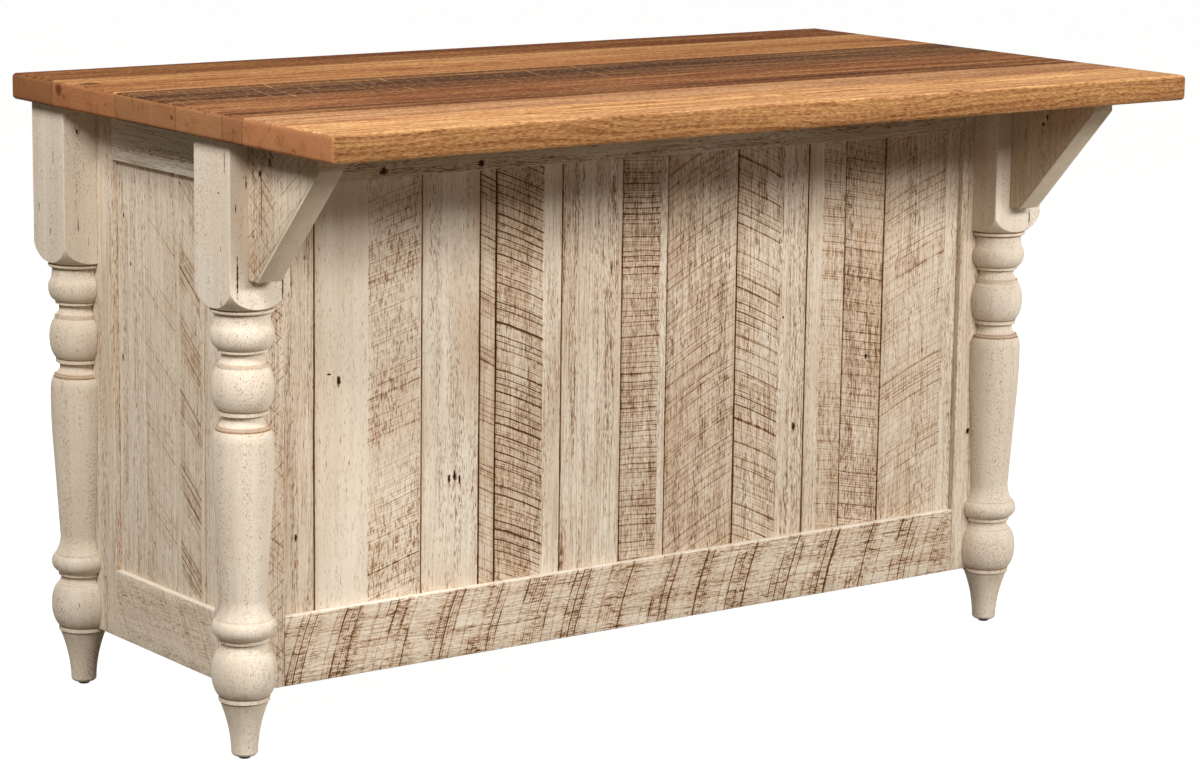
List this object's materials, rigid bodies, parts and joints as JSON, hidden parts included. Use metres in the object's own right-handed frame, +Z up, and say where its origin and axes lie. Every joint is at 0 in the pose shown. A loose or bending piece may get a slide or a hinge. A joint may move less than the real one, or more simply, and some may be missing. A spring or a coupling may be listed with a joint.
{
  "type": "kitchen island unit",
  "caption": "Kitchen island with a glued-board worktop, a seating overhang on brackets, turned corner legs, and a painted plank cabinet with doors and drawers on the working side.",
  "frame": {"origin": "on the floor, under the middle of the worktop", "axes": "+X along the island, -Y the seating side with the overhang, +Y the working side with doors and drawers, +Z up"},
  "size_m": [1.524, 0.88, 0.9144],
  "materials": {
    "board_honey": "satin varnish over oak",
    "board_brown": "satin varnish",
    "board_chestnut": "satin varnish",
    "board_walnut": "satin varnish over saw-marked wood",
    "board_gold": "satin varnish",
    "board_umber": "satin varnish",
    "leg_paint": "cream paint with brown glaze in the pores",
    "plank_paint": "cream paint and brown glaze over saw-marked planks",
    "rail_paint": "cream paint and brown glaze over saw-marked rails",
    "bare_wood": "clear lacquer",
    "iron": "dark bronze wax",
    "glide": "moulded"
  },
  "bodies": {
    "island": {"worktop_board_1": "board_honey", "worktop_board_2": "board_brown", "worktop_board_3": "board_chestnut", "worktop_board_4": "board_walnut", "worktop_board_5": "board_gold", "worktop_board_6": "board_umber", "leg_seating_left": "leg_paint", "leg_seating_right": "leg_paint", "leg_working_left": "leg_paint", "leg_working_right": "leg_paint", "glide_seating_left": "glide", "glide_seating_right": "glide", "glide_working_left": "glide", "glide_working_right": "glide", "bracket_left": "leg_paint", "bracket_right": "leg_paint", "seating_stile_left": "plank_paint", "seating_stile_right": "plank_paint", "seating_top_rail": "rail_paint", "seating_bottom_rail": "rail_paint", "seating_plank_01": "plank_paint", "seating_plank_02": "plank_paint", "seating_plank_03": "plank_paint", "seating_plank_04": "plank_paint", "seating_plank_05": "plank_paint", "seating_plank_06": "plank_paint", "seating_plank_07": "plank_paint", "seating_plank_08": "plank_paint", "seating_plank_09": "plank_paint", "seating_plank_10": "plank_paint", "seating_plank_11": "plank_paint", "seating_plank_12": "plank_paint", "end_frame_left": "plank_paint", "end_frame_right": "plank_paint", "end_panel_left": "plank_paint", "end_panel_right": "plank_paint", "working_face_frame": "plank_paint", "cabinet_floor": "bare_wood", "partition_left": "bare_wood", "partition_right": "bare_wood", "shelf_left": "bare_wood", "shelf_right": "bare_wood", "hinge_left_upper": "iron", "hinge_left_lower": "iron", "hinge_right_upper": "iron", "hinge_right_lower": "iron"},
    "door_left": {"door_left": "plank_paint", "door_knob_left": "iron"},
    "door_right": {"door_right": "plank_paint", "door_knob_right": "iron"},
    "drawer_top": {"drawer_front_top": "plank_paint", "drawer_box_top": "bare_wood", "drawer_knob_top": "iron"},
    "drawer_middle": {"drawer_front_middle": "plank_paint", "drawer_box_middle": "bare_wood", "drawer_knob_middle": "iron"},
    "drawer_bottom": {"drawer_front_bottom": "plank_paint", "drawer_box_bottom": "bare_wood", "drawer_knob_bottom": "iron"}
  },
  "joints": [
    {"name": "door_left_hinge", "type": "hinge", "parent": "island", "child": "door_left", "pos_m": [-0.62448, 0.36497, 0.49585], "axis": [0, 0, 1], "range_deg": [0, 110]},
    {"name": "door_right_hinge", "type": "hinge", "parent": "island", "child": "door_right", "pos_m": [0.62448, 0.36497, 0.49585], "axis": [0, 0, -1], "range_deg": [0, 110]},
    {"name": "drawer_top_slide", "type": "slide", "parent": "island", "child": "drawer_top", "axis": [0, 1, 0], "range_m": [0, 0.3]},
    {"name": "drawer_middle_slide", "type": "slide", "parent": "island", "child": "drawer_middle", "axis": [0, 1, 0], "range_m": [0, 0.3]},
    {"name": "drawer_bottom_slide", "type": "slide", "parent": "island", "child": "drawer_bottom", "axis": [0, 1, 0], "range_m": [0, 0.3]}
  ]
}
